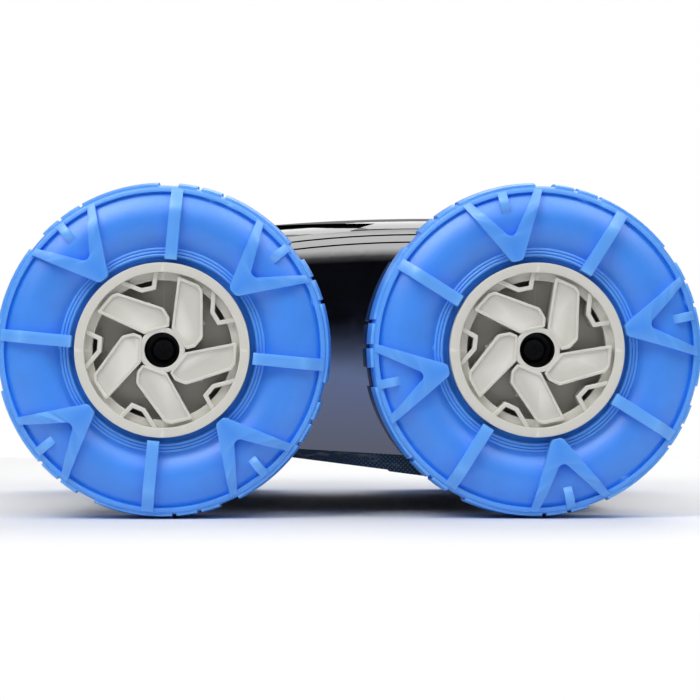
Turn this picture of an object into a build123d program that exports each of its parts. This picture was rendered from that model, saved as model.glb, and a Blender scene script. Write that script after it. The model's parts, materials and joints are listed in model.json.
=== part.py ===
"""Four-wheeled suction pool cleaner, as an assembly of separate pieces.

Millimetres. +Z is up and the floor is Z = 0. The wheels' axles run along Y, the front is -X, and the
machine's left side is -Y. The origin is on the floor, midway between the four wheels.

Water enters through the throat under the body, turns the turbine in its housing and leaves through the
swivelling hose socket on top. The turbine's shaft drives a reduction gear train on each side, and each
train drives that side's two wheels.
"""

from build123d import *
import os
from math import acos, cos, degrees, hypot, pi, radians, sin, sqrt, tan

# ---------------------------------------------------------------- driving dimensions
wheelbase = 188
axle_x = wheelbase / 2
axle_z = 85
wheel_mid_y = 144

tyre_radius = 85
tyre_base_radius = 83.4
tyre_bore_radius = 43.9
lip_radius = 81.6
rib_face = 28
rib_inner_radius = 45.6
lug_half_width = 19.5

hub_radius = 43.8
hub_front = 27.8
hub_back = -25
hub_disc_back = 4
hub_disc_front = 7
vane_face = 26.4
boss_radius = 11.45
bore_radius = 8.8
vane_count = 5

body_half_length = 142
body_half_width = 108
body_corner_radius = 42
shoulder_radius = 22
crown_radius = 1000
crown_crest_x = 45
crown_crest_z = 157.2
form_floor_z = 15
shell_wall = 2.6

parting_radius = 565
parting_crest_x = 39
parting_crest_z = 141
bead_height = 3.2
seam_gap = 0.8
strip_height = 2.6
crease_z = 151.6
crease_tip_x = 15

shell_edge_z = 32
shell_edge_slope = 0.06
skirt_edge_z = 25.2
skirt_edge_slope = 0.13
skirt_half_length = 76

chassis_z = 41
chassis_thickness = 3

chamber_radius = 34
chamber_half_width = 46
housing_wall = 2.5
throat_length = 44
throat_width = 76
throat_lip_z = 28.5
outlet_radius = 19.2
cup_radius = 24.3
cup_floor_z = 135
cup_top_z = 149.5
swivel_radius = 21.5

shaft_radius = 4
axle_radius = 6
axle_stub_radius = 4
bush_radius = 9
boss_tube_radius = 12
pin_radius = 3
running_gap = 0.06
seat_gap = 0.03

case_radius = 35
case_wall = 2.5
case_inner_y = 50
case_outer_y = 84.5
cover_outer_y = 87
tube_end_y = 112.5

stage_one = (55, 62)
stage_two = (64, 71)
stage_three = (73, 82)

pressure_angle = radians(25)
backlash = 0.12
fine_module = 1.0
coarse_module = 1.5
pinion_teeth = 14
wheel_teeth = 42
centre_teeth = 20
idler_teeth = 33
axle_teeth = 40
lay_height = 9

flap_hinge_x = 82
flap_hinge_z = 31
flap_tip_z = 6
flap_half_width = 70
flap_pin_radius = 2

# ---------------------------------------------------------------- worked-out positions
lay_distance = fine_module * (pinion_teeth + wheel_teeth) / 2
lay_x = sqrt(lay_distance**2 - lay_height**2)
lay_z = axle_z + lay_height
inner_mesh = coarse_module * (centre_teeth + idler_teeth) / 2
outer_mesh = coarse_module * (idler_teeth + axle_teeth) / 2
idler_x = (axle_x**2 + inner_mesh**2 - outer_mesh**2) / (2 * axle_x)
idler_z = axle_z - sqrt(inner_mesh**2 - idler_x**2)

ends = {"front": -1, "rear": 1}
sides = {"left": -1, "right": 1}
wheels = [(end, side) for end in ends for side in sides]
tyre_turn = {"front_left": 0, "rear_left": 153.1, "front_right": 20, "rear_right": 215}
hub_turn = {"front_left": 0, "rear_left": -1.9, "front_right": 31, "rear_right": 12}

os.makedirs("parts", exist_ok=True)


def save(part, name):
    """Write one finished piece as its own STEP file."""
    part.label = name
    export_step(part, f"parts/{name}.step")


def point(radius, angle):
    """A point of the side view at a polar position, in degrees."""
    return (radius * cos(radians(angle)), radius * sin(radians(angle)))


def other_side(part):
    """The same piece made for the machine's right side."""
    return mirror(part, about=Plane.XZ)


# ---------------------------------------------------------------- gears
def tooth_face(teeth, module):
    """One involute tooth along +X, from inside the root circle to the tip."""
    pitch_radius = module * teeth / 2
    base_radius = pitch_radius * cos(pressure_angle)
    root_radius = pitch_radius - 1.25 * module
    tip_radius = pitch_radius + module
    start_radius = max(base_radius, root_radius)
    half_at_pitch = pi / (2 * teeth) - backlash / (2 * pitch_radius)
    flank_steps = 5

    def half_angle(radius):
        turn = acos(min(1, base_radius / radius))
        return half_at_pitch + (tan(pressure_angle) - pressure_angle) - (tan(turn) - turn)

    flank = []
    for step in range(flank_steps + 1):
        radius = start_radius + (tip_radius - start_radius) * step / flank_steps
        flank.append(point(radius, degrees(half_angle(radius))))
    inside = point(root_radius - 0.3 * module, degrees(half_angle(start_radius)))
    with BuildSketch() as tooth:
        with BuildLine():
            Polyline((inside[0], 0), inside, flank[0])
            Spline(*flank)
            ThreePointArc(flank[-1], (tip_radius, 0), (flank[-1][0], -flank[-1][1]))
            Spline(*[(x, -y) for x, y in reversed(flank)])
            Polyline((flank[0][0], -flank[0][1]), (inside[0], -inside[1]), (inside[0], 0))
        make_face()
    return tooth.sketch


def gear_face(teeth, module, phase):
    """A whole gear outline with one tooth centred on the phase angle."""
    tooth = tooth_face(teeth, module)
    with BuildSketch() as outline:
        Circle(module * (teeth / 2 - 1.25))
        with PolarLocations(0, teeth, start_angle=phase):
            add(tooth)
    return outline.sketch


def mesh_phase(teeth, phase, next_teeth, direction):
    """Phase of the gear that meshes with this one across the given direction."""
    fraction = (direction - phase) * teeth / 360
    return direction + 180 - (0.5 - fraction) * 360 / next_teeth


def heading(start, end):
    """Direction in degrees from one point of the side view to another."""
    length = hypot(end[0] - start[0], end[1] - start[1])
    turn = degrees(acos((end[0] - start[0]) / length))
    return turn if end[1] >= start[1] else -turn


centre_place = (0, axle_z)
lay_place = (lay_x, lay_z)
lay_direction = heading(centre_place, lay_place)
pinion_phase = 0
lay_large_phase = mesh_phase(pinion_teeth, pinion_phase, wheel_teeth, lay_direction)
lay_small_phase = 0
centre_large_phase = mesh_phase(pinion_teeth, lay_small_phase, wheel_teeth, lay_direction + 180)
centre_small_phase = 0


def gear_solid(teeth, module, phase, place, stage, bore, rim=0):
    """One gear between the two depths of its stage; rim leaves a web between hub and teeth."""
    depth = stage[1] - stage[0]
    recess = depth * 0.28
    with BuildPart() as gear:
        with BuildSketch(Plane.XZ.offset(stage[0])):
            with Locations(place):
                add(gear_face(teeth, module, phase))
                Circle(bore, mode=Mode.SUBTRACT)
        extrude(amount=depth)
        if rim:
            for start in (stage[0], stage[1] - recess):
                with BuildSketch(Plane.XZ.offset(start)):
                    with Locations(place):
                        Circle(module * (teeth / 2 - 1.25) - rim)
                        Circle(bore + rim, mode=Mode.SUBTRACT)
                extrude(amount=recess, mode=Mode.SUBTRACT)
    return gear.part


def tube_solid(place, start, end, outer, inner):
    """A plain tube along the machine's width, between two depths."""
    with BuildPart() as tube:
        with BuildSketch(Plane.XZ.offset(start)):
            with Locations(place):
                Circle(outer)
                Circle(inner, mode=Mode.SUBTRACT)
        extrude(amount=end - start)
    return tube.part


# ---------------------------------------------------------------- tyre
rib_envelope_start = 14
bevel_start_radius = 72


def rib_outlines():
    """Side-view outlines of the four V ribs and the four straight ribs of a tyre."""
    tip_half = 2.75
    outer_slope = tan(radians(28.4))
    inner_slope = tan(radians(36))
    crotch = 56.6
    reach = 84
    with BuildSketch() as outlines:
        for quarter in range(4):
            with BuildSketch(mode=Mode.PRIVATE) as v_shape:
                with BuildLine():
                    Polyline(
                        (rib_inner_radius, 0),
                        (rib_inner_radius, tip_half),
                        (reach, tip_half + (reach - rib_inner_radius) * outer_slope),
                        (reach, (reach - crotch) * inner_slope),
                        (crotch, 0),
                        (reach, -(reach - crotch) * inner_slope),
                        (reach, -tip_half - (reach - rib_inner_radius) * outer_slope),
                        (rib_inner_radius, -tip_half),
                        close=True,
                    )
                make_face()
                fillet(v_shape.vertices().filter_by_position(Axis.X, crotch - 1, crotch + 1), 3)
                near_tip = (rib_inner_radius - 1, rib_inner_radius + 1)
                tips = v_shape.vertices().filter_by_position(Axis.X, *near_tip)
                fillet([corner for corner in tips if abs(corner.Y) > 1], 1.4)
            with Locations(Location((0, 0, 0), (0, 0, 39.4 + 90 * quarter))):
                add(v_shape.sketch)
            with Locations(Location((0, 0, 0), (0, 0, 84.6 + 90 * quarter))):
                with Locations(((rib_inner_radius + reach) / 2, 0)):
                    Rectangle(reach - rib_inner_radius, 6)
    return outlines.sketch


def tyre_section():
    """Half of the tyre's section, radius along X and distance from its middle along Y, mirrored."""
    with BuildSketch() as section:
        with BuildLine():
            Polyline((tyre_bore_radius, 0), (tyre_bore_radius, 15.5), (46, 16.4), (46.9, 19.4))
            for ridge in range(3):
                start = 46.9 + 1.6 * ridge
                ThreePointArc((start, 19.4), (start + 0.8, 20.1), (start + 1.6, 19.4))
            ThreePointArc((51.7, 19.4), (63.5, 24.2), (79, 19.2))
            Polyline((79, 19.2), (79.5, 21.2), (lip_radius, 20.6), (82.6, 18.6))
            ThreePointArc((82.6, 18.6), (83.2, 9.3), (tyre_base_radius, 0))
            mirror(about=Plane.XZ)
        make_face()
    return section.sketch


def build_tyre():
    """A tyre about the Y axis with its outer face towards -Y and its middle at Y = 0."""
    with BuildPart() as ribs:
        with BuildSketch(Plane.XZ.offset(rib_envelope_start)):
            add(rib_outlines())
        extrude(amount=rib_face - rib_envelope_start)
        with BuildSketch():
            with BuildLine():
                Polyline(
                    (tyre_bore_radius, 0),
                    (tyre_bore_radius, -rib_face),
                    (bevel_start_radius, -rib_face),
                    (80.3, -22.4),
                    (81.4, -20),
                    (81.4, 0),
                    close=True,
                )
            make_face()
        revolve(axis=Axis.Y, mode=Mode.INTERSECT)
    with BuildPart() as claws:
        with BuildSketch(Plane.XZ):
            with PolarLocations(0, 4, start_angle=39.4):
                with Locations((75.2, 0)):
                    Rectangle(13, 4.4)
        extrude(amount=30)
        with BuildSketch():
            with BuildLine():
                Line((66, 0), (66, -20))
                ThreePointArc((66, -20), (73, -25.2), (81.3, -20))
                Polyline((81.3, -20), (81.3, 0), (66, 0))
            make_face()
        revolve(axis=Axis.Y, mode=Mode.INTERSECT)
    with BuildPart() as tyre:
        add(tyre_section())
        revolve(axis=Axis.Y)
        with BuildSketch(Plane.XZ.offset(-lug_half_width)):
            Circle(tyre_radius)
            Circle(tyre_base_radius - 1.5, mode=Mode.SUBTRACT)
            for gap_turn in range(7):
                with Locations(Location((0, 0, 0), (0, 0, 36.5 + gap_turn * 360 / 7))):
                    with Locations((tyre_radius, 0)):
                        Rectangle(8, 10.3, mode=Mode.SUBTRACT)
        extrude(amount=2 * lug_half_width)
        add(ribs.part)
        add(claws.part)
    return tyre.part


# ---------------------------------------------------------------- wheel hub
def vane_outline():
    """The vane nearest the top of a hub, square on the left and rounded on its outer corners."""
    with BuildSketch() as outline:
        with BuildLine():
            Polyline(
                (4.8, 10.8), (8, 36.9), (18.2, 32.7), (20.3, 29.9), (20.3, 5.9), (16.4, 1.4), (12.2, 0.3),
                close=True,
            )
        make_face()
        fillet(outline.vertices().sort_by(Axis.X)[-2:], 1.6)
    return outline.sketch


def vane_pocket():
    """The shallow pocket in a vane's face, which leaves a border along its right and outer edges."""
    with BuildSketch() as outline:
        with BuildLine():
            Polyline((6.9, 12.2), (9.1, 31.6), (15.6, 28.9), (17.1, 27.4), (17.1, 7.2), (15.1, 4.8), close=True)
        make_face()
        fillet(outline.vertices(), 0.6)
    return outline.sketch


def lug_wall():
    """A bent wall that stands inwards from a hub's ring beside each vane."""
    with BuildSketch() as outline:
        with BuildLine():
            Polyline(point(39.5, 22.5), point(31.5, 25.6), point(31.5, 36.9), point(39.5, 49))
            offset(amount=1.1, side=Side.BOTH)
        make_face()
    return outline.sketch


def disc_rib():
    """A low curved rib on a hub's disc."""
    with BuildSketch() as outline:
        with BuildLine():
            ThreePointArc(point(10, 88), point(22, 108), point(31, 140))
            offset(amount=1.3, side=Side.BOTH)
        make_face()
    return outline.sketch


def build_hub():
    """A wheel hub about the Y axis with its outer face towards -Y, in the tyre's own frame."""
    socket_back = -26
    socket_end = -3
    bore_floor = 2
    ring_inner = 39
    ledge_inner = 35
    ledge_face = 22.5
    with BuildPart() as hub:
        with BuildSketch(Plane.XZ.offset(hub_back)):
            Circle(hub_radius)
            Circle(ring_inner, mode=Mode.SUBTRACT)
        extrude(amount=hub_front - hub_back)
        fillet(hub.faces().sort_by(Axis.Y)[0].edges(), 1.4)
        with BuildSketch(Plane.XZ.offset(ledge_face - 5)):
            Circle(ring_inner + 1)
            Circle(ledge_inner, mode=Mode.SUBTRACT)
        extrude(amount=5)
        with BuildSketch(Plane.XZ.offset(hub_disc_back)):
            Circle(ring_inner + 1)
        extrude(amount=hub_disc_front - hub_disc_back)
        raised = ((vane_outline(), vane_face), (lug_wall(), vane_face - 1), (disc_rib(), hub_disc_front + 5))
        for outline, top in raised:
            with BuildSketch(Plane.XZ.offset(hub_disc_front - 1)):
                with PolarLocations(0, vane_count):
                    add(outline)
            extrude(amount=top - hub_disc_front + 1)
        with BuildSketch(Plane.XZ.offset(vane_face - 1.2)):
            with PolarLocations(0, vane_count):
                add(vane_pocket())
        extrude(amount=1.2, mode=Mode.SUBTRACT)
        with BuildSketch(Plane.XZ.offset(socket_back)):
            Circle(boss_radius)
        extrude(amount=vane_face - 0.4 - socket_back)
        with BuildSketch(Plane.XZ.offset(bore_floor)):
            Circle(bore_radius)
        extrude(amount=hub_front, mode=Mode.SUBTRACT)
        with BuildSketch(Plane.XZ.offset(socket_back)):
            RegularPolygon(axle_radius + seat_gap, 6)
        extrude(amount=socket_end - socket_back, mode=Mode.SUBTRACT)
        with BuildSketch(Plane.XZ.offset(socket_end)):
            Circle(2.7)
        extrude(amount=bore_floor - socket_end, mode=Mode.SUBTRACT)
    return hub.part


def build_wheel_screw():
    """The screw at the bottom of a hub's bore, which holds the hub on its axle."""
    with BuildPart() as screw:
        with BuildSketch(Plane.XZ.offset(2)):
            Circle(6)
        extrude(amount=3.4)
        chamfer(screw.faces().sort_by(Axis.Y)[0].edges(), 0.9)
        with BuildSketch(Plane.XZ.offset(-18)):
            Circle(2.4)
        extrude(amount=20)
        with BuildSketch(Plane.XZ.offset(3.8)):
            Rectangle(6.4, 1.4)
            Rectangle(1.4, 6.4)
        extrude(amount=2, mode=Mode.SUBTRACT)
    return screw.part


def build_axle():
    """A left-hand axle about the Y axis, with Y measured as on the machine."""
    with BuildPart() as axle:
        lengths = ((case_inner_y + 1, stage_three[0], axle_stub_radius), (stage_three[0], 117, axle_radius))
        for start, end, radius in lengths:
            with BuildSketch(Plane.XZ.offset(start)):
                Circle(radius)
            extrude(amount=end - start)
        with BuildSketch(Plane.XZ.offset(117)):
            RegularPolygon(axle_radius, 6)
        extrude(amount=23.9)
        with BuildSketch(Plane.XZ.offset(118)):
            Circle(2.5)
        extrude(amount=24, mode=Mode.SUBTRACT)
    return axle.part


def place_wheel_piece(part, end, side, turn):
    """Turn a piece about its own axle, face it outwards and put it on its wheel's centre."""
    turned = Rotation(0, -turn, 0) * part
    faced = Rotation(0, 0, 180 if side == "right" else 0) * turned
    return Pos(ends[end] * axle_x, sides[side] * wheel_mid_y, axle_z) * faced


tyre_solid = build_tyre()
hub_solid = build_hub()
screw_solid = build_wheel_screw()
axle_solid = build_axle()
for end, side in wheels:
    corner = f"{end}_{side}"
    save(place_wheel_piece(tyre_solid, end, side, tyre_turn[corner]), f"tyre_{corner}")
    save(place_wheel_piece(hub_solid, end, side, hub_turn[corner]), f"wheel_hub_{corner}")
    save(place_wheel_piece(screw_solid, end, side, hub_turn[corner]), f"wheel_screw_{corner}")
    axle_at_wheel = Pos(0, wheel_mid_y, 0) * axle_solid
    save(place_wheel_piece(axle_at_wheel, end, side, hub_turn[corner]), f"axle_{corner}")


# ---------------------------------------------------------------- gear train
def save_pair(part, name):
    """Write a left-hand piece and its mirror image for the right side."""
    save(part, f"{name}_left")
    save(other_side(part), f"{name}_right")


with BuildPart() as turbine_pinion:
    add(
        gear_solid(pinion_teeth, fine_module, pinion_phase, centre_place, stage_one, shaft_radius + seat_gap)
    )
    add(tube_solid(centre_place, stage_one[0] - 1.5, stage_one[0], 5.4, shaft_radius + seat_gap))
save_pair(turbine_pinion.part, "turbine_pinion")

with BuildPart() as lay_gear:
    add(
        gear_solid(wheel_teeth, fine_module, lay_large_phase, lay_place, stage_one, pin_radius + running_gap, rim=3)
    )
    add(tube_solid(lay_place, stage_one[1], stage_two[0], 5.7, pin_radius + running_gap))
    add(
        gear_solid(pinion_teeth, fine_module, lay_small_phase, lay_place, stage_two, pin_radius + running_gap)
    )
save_pair(lay_gear.part, "lay_gear")

with BuildPart() as centre_gear:
    add(
        gear_solid(wheel_teeth, fine_module, centre_large_phase, centre_place, stage_two, shaft_radius + running_gap, rim=4)
    )
    add(tube_solid(centre_place, stage_two[1], stage_three[0], 7, shaft_radius + running_gap))
    add(
        gear_solid(centre_teeth, coarse_module, centre_small_phase, centre_place, stage_three, shaft_radius + running_gap)
    )
save_pair(centre_gear.part, "centre_gear")

for end, sign in ends.items():
    idler_place = (sign * idler_x, idler_z)
    axle_place = (sign * axle_x, axle_z)
    inward = heading(centre_place, idler_place)
    outward = heading(idler_place, axle_place)
    idler_phase = mesh_phase(centre_teeth, centre_small_phase, idler_teeth, inward)
    axle_phase = mesh_phase(idler_teeth, idler_phase, axle_teeth, outward)
    with BuildPart() as idler_gear:
        add(
            gear_solid(idler_teeth, coarse_module, idler_phase, idler_place, stage_three, pin_radius + running_gap, rim=4)
        )
    save_pair(idler_gear.part, f"idler_gear_{end}")
    with BuildPart() as axle_gear:
        add(
            gear_solid(axle_teeth, coarse_module, axle_phase, axle_place, stage_three, axle_radius + seat_gap, rim=4.5)
        )
    save_pair(axle_gear.part, f"axle_gear_{end}")
    with BuildPart() as axle_bush:
        add(
            tube_solid(axle_place, case_outer_y - 1.8, case_outer_y - seat_gap, 10.6, axle_radius + running_gap)
        )
        add(
            tube_solid(axle_place, case_outer_y - seat_gap, 108.5, bush_radius - seat_gap, axle_radius + running_gap)
        )
    save_pair(axle_bush.part, f"axle_bush_{end}")

with BuildPart() as left_seals:
    for sign in ends.values():
        add(
            tube_solid((sign * axle_x, axle_z), 109, 112, bush_radius - seat_gap, axle_radius + running_gap)
        )
save(Compound(children=[*left_seals.part.solids(), *other_side(left_seals.part).solids()]), "axle_seals")


# ---------------------------------------------------------------- gear cases and covers
with BuildPart() as gear_case:
    with BuildSketch(Plane.XZ.offset(case_inner_y)):
        with Locations(centre_place):
            SlotCenterToCenter(wheelbase, 2 * case_radius)
    extrude(amount=case_outer_y - case_inner_y)
    with BuildSketch(Plane.XZ.offset(case_inner_y + case_wall)):
        with Locations(centre_place):
            SlotCenterToCenter(wheelbase, 2 * (case_radius - case_wall))
    extrude(amount=case_outer_y, mode=Mode.SUBTRACT)
    with BuildSketch(Plane.XZ.offset(case_inner_y)):
        with Locations((-axle_x, axle_z), (axle_x, axle_z)):
            Circle(axle_stub_radius + 3)
    extrude(amount=case_wall + 4)
    with BuildSketch(Plane.XZ.offset(case_inner_y + 0.8)):
        with Locations((-axle_x, axle_z), (axle_x, axle_z)):
            Circle(axle_stub_radius + running_gap)
    extrude(amount=10, mode=Mode.SUBTRACT)
    with BuildSketch(Plane.XZ.offset(case_inner_y)):
        with Locations(centre_place):
            Circle(7.6)
    extrude(amount=case_wall, mode=Mode.SUBTRACT)
    with BuildSketch(Plane.XZ.offset(case_inner_y)):
        with Locations(lay_place):
            Circle(pin_radius)
    extrude(amount=stage_two[1] + 0.6 - case_inner_y)
    with BuildSketch(Plane.XZ.offset(case_inner_y)):
        with Locations(lay_place):
            Circle(pin_radius + 2)
    extrude(amount=stage_one[0] - 0.4 - case_inner_y)
save_pair(gear_case.part, "gear_case")

with BuildPart() as gear_cover:
    with BuildSketch(Plane.XZ.offset(case_outer_y + 0.05)):
        with Locations(centre_place):
            SlotCenterToCenter(wheelbase, 2 * case_radius)
    extrude(amount=cover_outer_y - case_outer_y - 0.05)
    with BuildSketch(Plane.XZ.offset(cover_outer_y)):
        with Locations((-axle_x, axle_z), (axle_x, axle_z)):
            Circle(boss_tube_radius)
    extrude(amount=tube_end_y - cover_outer_y)
    with BuildSketch(Plane.XZ.offset(cover_outer_y)):
        with Locations(centre_place):
            Circle(shaft_radius + 3)
    extrude(amount=3)
    with BuildSketch(Plane.XZ.offset(stage_three[0])):
        with Locations((-idler_x, idler_z), (idler_x, idler_z)):
            Circle(pin_radius)
    extrude(amount=cover_outer_y - stage_three[0])
    with BuildSketch(Plane.XZ.offset(stage_three[1] + 0.5)):
        with Locations((-idler_x, idler_z), (idler_x, idler_z)):
            Circle(pin_radius + 3)
    extrude(amount=cover_outer_y - stage_three[1] - 0.5)
    with BuildSketch(Plane.XZ.offset(case_outer_y - 1)):
        with Locations((-axle_x, axle_z), (axle_x, axle_z)):
            Circle(bush_radius)
    extrude(amount=40, mode=Mode.SUBTRACT)
    with BuildSketch(Plane.XZ.offset(case_outer_y - 1)):
        with Locations(centre_place):
            Circle(shaft_radius + running_gap)
    extrude(amount=5.5, mode=Mode.SUBTRACT)
save_pair(gear_cover.part, "gear_cover")


# ---------------------------------------------------------------- turbine
blade_count = 8
blade_tip_radius = 31.5
rotor_half_width = 44
with BuildSketch() as blade:
    with BuildLine():
        ThreePointArc((7, 0), (20, 3.4), (blade_tip_radius, 0.6))
        offset(amount=1.1, side=Side.BOTH)
    make_face()
with BuildPart() as turbine_rotor:
    with BuildSketch(Plane.XZ.offset(-rotor_half_width)):
        with Locations(centre_place):
            Circle(9)
            with PolarLocations(0, blade_count):
                add(blade.sketch)
            Circle(shaft_radius + seat_gap, mode=Mode.SUBTRACT)
    extrude(amount=2 * rotor_half_width)
save(turbine_rotor.part, "turbine_rotor")

with BuildPart() as turbine_shaft:
    with BuildSketch(Plane.XZ.offset(-cover_outer_y)):
        with Locations(centre_place):
            Circle(shaft_radius)
    extrude(amount=2 * cover_outer_y)
    chamfer(turbine_shaft.edges().filter_by(GeomType.CIRCLE), 0.6)
save(turbine_shaft.part, "turbine_shaft")

with BuildPart() as shaft_bearing:
    add(
        tube_solid(centre_place, chamber_half_width - 0.8, chamber_half_width, 9.2, shaft_radius + running_gap)
    )
    add(tube_solid(centre_place, chamber_half_width, 51, 7, shaft_radius + running_gap))
save_pair(shaft_bearing.part, "shaft_bearing")


def housing_drum(radius, half_width, bearing_seats):
    """A closed drum about the turbine's axis, with a stub for each bearing seat if wanted."""
    with BuildPart() as drum:
        with BuildSketch(Plane.XZ.offset(-half_width)):
            with Locations(centre_place):
                Circle(radius)
        extrude(amount=2 * half_width)
        if bearing_seats:
            with BuildSketch(Plane.XZ.offset(-half_width - 2 * housing_wall)):
                with Locations(centre_place):
                    Circle(7 + seat_gap)
            extrude(amount=2 * half_width + 4 * housing_wall)
    return drum.part


drum_outside = housing_drum(chamber_radius + housing_wall, chamber_half_width + housing_wall, False)
drum_inside = housing_drum(chamber_radius, chamber_half_width, True)

with BuildPart() as turbine_housing_lower:
    add(drum_outside)
    with BuildSketch(Plane.XY.offset(throat_lip_z)):
        RectangleRounded(throat_length + 2 * housing_wall, throat_width + 2 * housing_wall, 6)
    extrude(amount=axle_z - throat_lip_z)
    with BuildSketch(Plane.XY.offset(throat_lip_z)):
        RectangleRounded(throat_length + 16, throat_width + 16, 10)
    extrude(amount=3)
    add(drum_inside, mode=Mode.SUBTRACT)
    with BuildSketch(Plane.XY.offset(throat_lip_z - 1)):
        RectangleRounded(throat_length, throat_width, 4)
    extrude(amount=axle_z - throat_lip_z + 1, mode=Mode.SUBTRACT)
    split(bisect_by=Plane.XY.offset(axle_z), keep=Keep.BOTTOM)
save(turbine_housing_lower.part, "turbine_housing_lower")

with BuildPart() as turbine_housing_upper:
    add(drum_outside)
    with BuildSketch(Plane.XY.offset(axle_z)):
        Circle(outlet_radius + 3)
    extrude(amount=cup_top_z - axle_z)
    with BuildSketch(Plane.XY.offset(cup_floor_z - 3)):
        Circle(cup_radius + 2.8)
    extrude(amount=cup_top_z - cup_floor_z + 3)
    add(drum_inside, mode=Mode.SUBTRACT)
    with BuildSketch(Plane.XY.offset(axle_z)):
        Circle(outlet_radius)
    extrude(amount=100, mode=Mode.SUBTRACT)
    with BuildSketch(Plane.XY.offset(cup_floor_z)):
        Circle(cup_radius)
    extrude(amount=40, mode=Mode.SUBTRACT)
    split(bisect_by=Plane.XY.offset(axle_z + 0.05), keep=Keep.TOP)
save(turbine_housing_upper.part, "turbine_housing_upper")


# ---------------------------------------------------------------- hose swivel
swivel_top_z = 154.4
flange_z = cup_floor_z + 1.3
flange_height = 3
with BuildPart() as hose_swivel:
    with BuildSketch(Plane.XY.offset(flange_z)):
        Circle(cup_radius - 0.1)
    extrude(amount=flange_height)
    with BuildSketch(Plane.XY.offset(flange_z)):
        Circle(swivel_radius)
    extrude(amount=swivel_top_z - flange_z)
    with BuildSketch(Plane.XY.offset(flange_z)):
        Circle(outlet_radius)
    extrude(amount=40, mode=Mode.SUBTRACT)
    rim_edges = hose_swivel.edges().filter_by(GeomType.CIRCLE).sort_by(Axis.Z)[-2:]
    fillet(rim_edges, 0.8)
    with BuildSketch(Plane.XY.offset(swivel_top_z - 1.6)):
        with PolarLocations(swivel_radius, 4):
            Rectangle(2.4, 5)
    extrude(amount=4, mode=Mode.SUBTRACT)
save(hose_swivel.part, "hose_swivel")

with BuildPart() as swivel_retainer:
    with BuildSketch(Plane.XY.offset(flange_z + flange_height + 0.1)):
        Circle(cup_radius - seat_gap)
        Circle(swivel_radius + 0.1, mode=Mode.SUBTRACT)
    extrude(amount=7)
save(swivel_retainer.part, "swivel_retainer")

with BuildPart() as swivel_seal:
    with BuildSketch(Plane.XY.offset(cup_floor_z + 0.02)):
        Circle(cup_radius - 0.2)
        Circle(outlet_radius + 0.6, mode=Mode.SUBTRACT)
    extrude(amount=1.2)
save(swivel_seal.part, "swivel_seal")


# ---------------------------------------------------------------- body shell, bead, cover and fairing
def body_form(inset):
    """The body's whole outer shape, moved inwards by the inset."""
    with BuildPart() as form:
        with BuildSketch(Plane.XY.offset(form_floor_z)):
            RectangleRounded(
                2 * (body_half_length - inset), 2 * (body_half_width - inset), body_corner_radius - inset
            )
        extrude(amount=crown_crest_z)
        with Locations((crown_crest_x, 0, crown_crest_z - crown_radius)):
            Sphere(crown_radius - inset, mode=Mode.INTERSECT)
        fillet(form.faces().sort_by(Axis.Z)[-1].edges(), shoulder_radius - inset)
    return form.part


def parting_drum(rise):
    """A wide drum whose surface is a parting line that arches along the body, raised by rise."""
    with BuildPart() as drum:
        with Locations((parting_crest_x, 0, parting_crest_z - parting_radius)):
            Cylinder(parting_radius + rise, 3 * body_half_width, rotation=(90, 0, 0))
    return drum.part


def sloped_edge(height, slope):
    """Plane of a lower edge that falls towards the rear."""
    return Plane(origin=(0, 0, height), x_dir=(1, 0, -slope), z_dir=(slope, 0, 1))


cover_inset = 1.6
cover_wall = 2.6
outer_form = body_form(0)
wall_form = body_form(shell_wall)
deck_form = body_form(cover_inset)
deck_inside_form = body_form(cover_inset + cover_wall)
shell_drum = parting_drum(0)
screw_posts = ((-115, -30), (-115, 30), (115, -30), (115, 30))
chassis_screw_places = ((-128, -42), (-128, 42), (128, -42), (128, 42))

with BuildPart() as body_shell:
    add(outer_form)
    add(wall_form, mode=Mode.SUBTRACT)
    add(shell_drum, mode=Mode.INTERSECT)
    split(bisect_by=sloped_edge(shell_edge_z, shell_edge_slope), keep=Keep.TOP)
    with BuildSketch(Plane.XZ.offset(-1.5 * body_half_width)):
        with Locations((-axle_x, axle_z), (axle_x, axle_z)):
            Circle(boss_tube_radius + 0.4)
    extrude(amount=3 * body_half_width, mode=Mode.SUBTRACT)
    with BuildSketch(Plane.XY.offset(chassis_z + chassis_thickness + 0.1)):
        with Locations(*chassis_screw_places):
            Circle(5)
        with Locations((-135.5, -42), (-135.5, 42), (135.5, -42), (135.5, 42)):
            Rectangle(9, 2.4)
    extrude(amount=16)
    with BuildSketch(Plane.XY.offset(chassis_z)):
        with Locations(*chassis_screw_places):
            Circle(2.05)
    extrude(amount=16, mode=Mode.SUBTRACT)
save(body_shell.part, "body_shell")

with BuildPart() as trim_bead:
    add(body_form(-0.2))
    add(body_form(2.2), mode=Mode.SUBTRACT)
    add(parting_drum(seam_gap), mode=Mode.SUBTRACT)
    add(parting_drum(seam_gap + bead_height), mode=Mode.INTERSECT)
with BuildPart() as bead_seat:
    add(body_form(2.1))
    add(body_form(5), mode=Mode.SUBTRACT)
    add(parting_drum(0.05), mode=Mode.SUBTRACT)
    add(parting_drum(2 * seam_gap + bead_height - 0.05), mode=Mode.INTERSECT)
with BuildPart() as bead:
    add(trim_bead.part)
    add(bead_seat.part)
save(bead.part, "trim_bead")

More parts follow.
